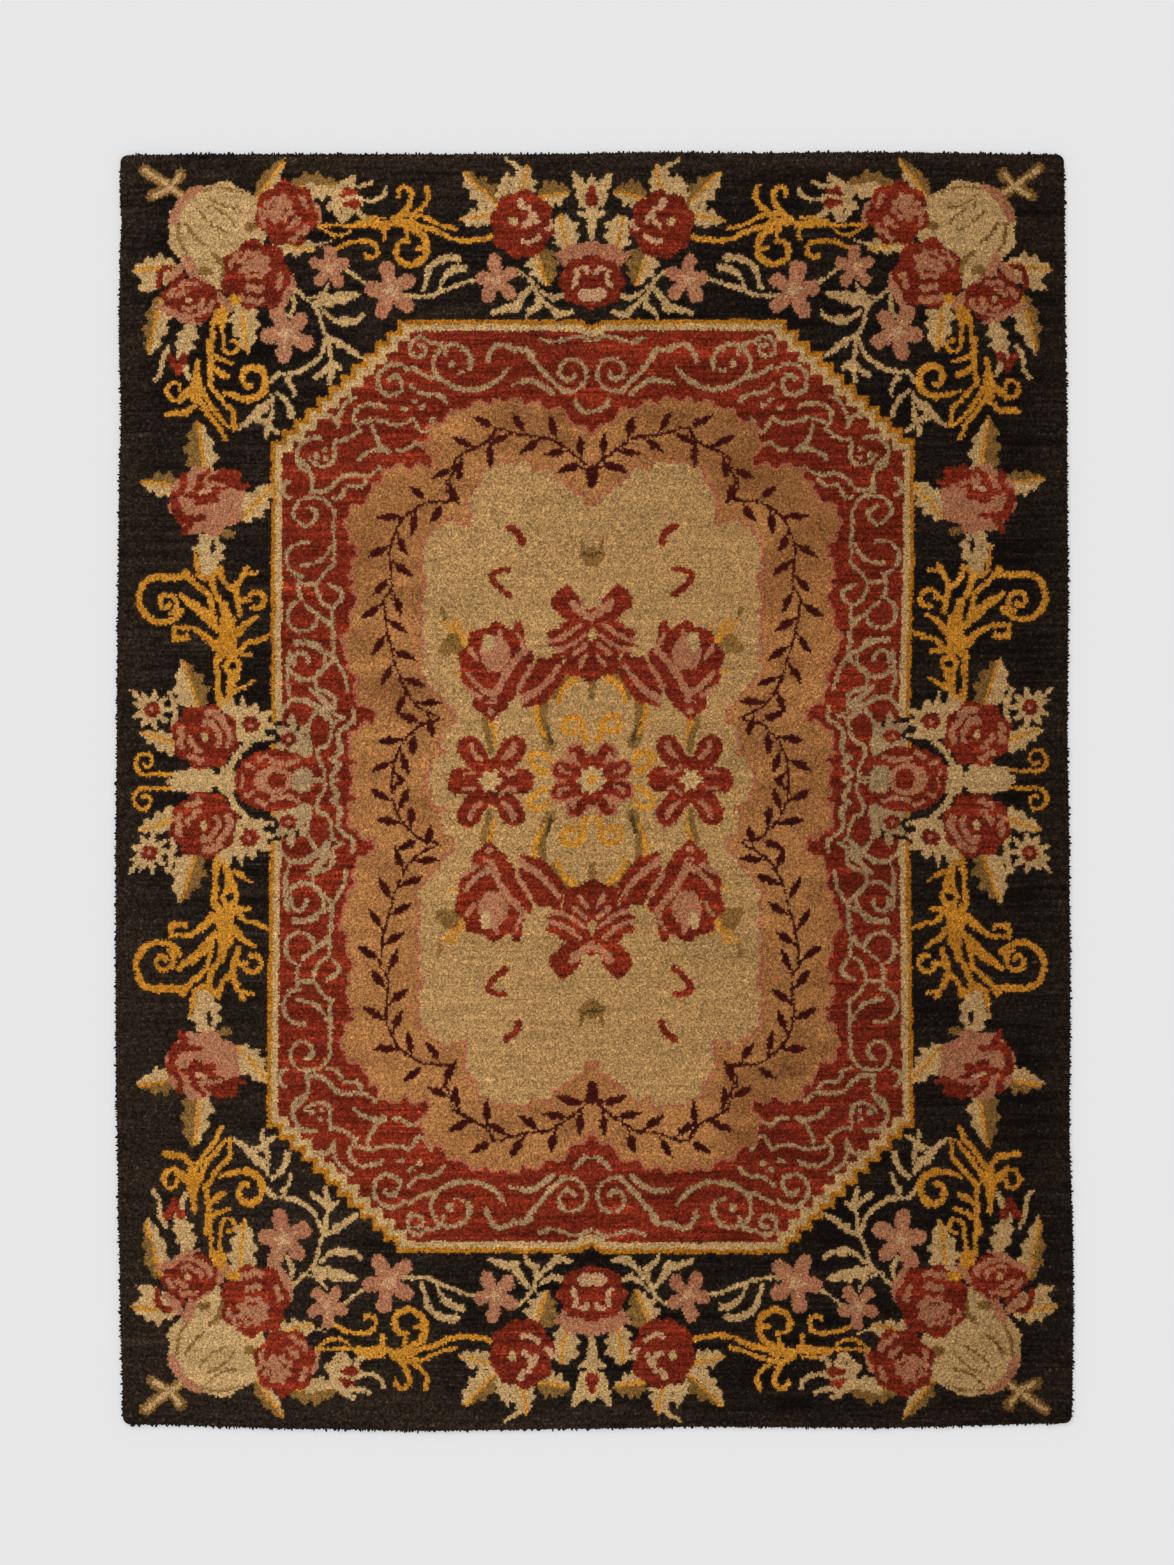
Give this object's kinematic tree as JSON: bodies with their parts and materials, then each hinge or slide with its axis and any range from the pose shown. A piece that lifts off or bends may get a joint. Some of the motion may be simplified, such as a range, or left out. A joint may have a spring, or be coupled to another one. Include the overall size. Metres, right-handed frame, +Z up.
{
  "type": "tufted wool rug",
  "caption": "Rectangular wool pile rug with a floral border, a stepped octagonal frame and a scalloped field, lying flat on a floor.",
  "frame": {"origin": "centre of the rug's underside, on the floor", "axes": "+X to the rug's right across its width, +Y along its length to its far end, +Z up out of the pile"},
  "size_m": [1.8386, 2.456, 0.012],
  "materials": {
    "pile_wool": "cut wool pile, matt, with a soft sheen at a low angle"
  },
  "bodies": {
    "root": {"rug": "pile_wool"}
  },
  "joints": []
}
